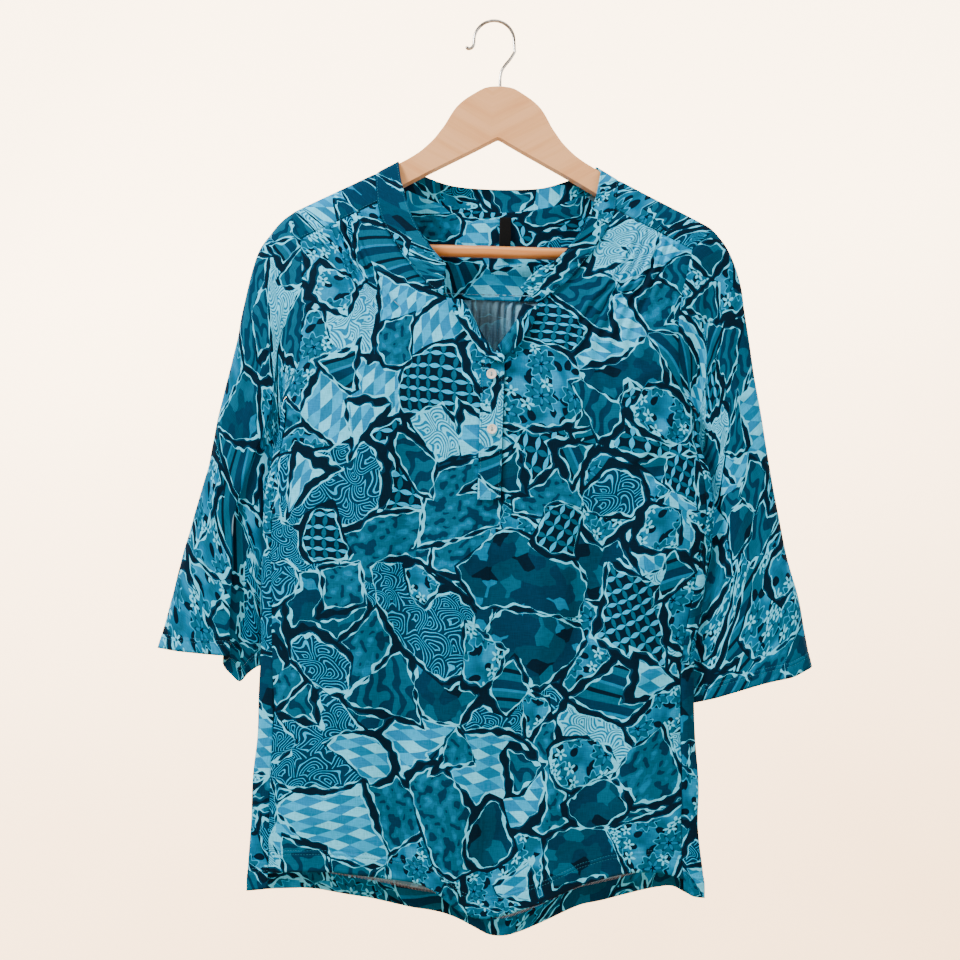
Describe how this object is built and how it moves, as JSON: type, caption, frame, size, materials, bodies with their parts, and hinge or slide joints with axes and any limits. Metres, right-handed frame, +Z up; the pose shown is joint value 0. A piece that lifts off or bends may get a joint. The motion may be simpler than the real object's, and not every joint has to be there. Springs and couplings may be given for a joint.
{
  "type": "three-quarter sleeve top on a wooden hanger",
  "caption": "Women's popover blouse with a band neck, short buttoned placket, shaped hem and wide three-quarter sleeves, hung on a wooden trouser hanger.",
  "frame": {"origin": "inner top of the hanger's hook, where it rests on a rail or nail", "axes": "+Z up, -Y out of the front of the top, +X towards the viewer's right"},
  "size_m": [0.6563, 0.0802, 0.9238],
  "materials": {
    "printed_cloth": "light printed viscose, soft sheen, teal patchwork print",
    "button_shell": "pearly polyester",
    "label_cloth": "bare black woven tape",
    "hanger_wood": "pale clear-lacquered wood",
    "bar_wood": "tan lacquered dowel",
    "hook_steel": "plated steel wire"
  },
  "bodies": {
    "root": {"front": "printed_cloth", "back": "printed_cloth", "yoke": "printed_cloth", "yoke_facing": "printed_cloth", "neck_band": "printed_cloth", "placket_top": "printed_cloth", "placket_under": "printed_cloth", "sleeve_left": "printed_cloth", "sleeve_right": "printed_cloth", "button_upper": "button_shell", "button_lower": "button_shell", "label": "label_cloth", "hanger_body": "hanger_wood", "trouser_bar": "bar_wood", "hanger_hook": "hook_steel"}
  },
  "joints": []
}
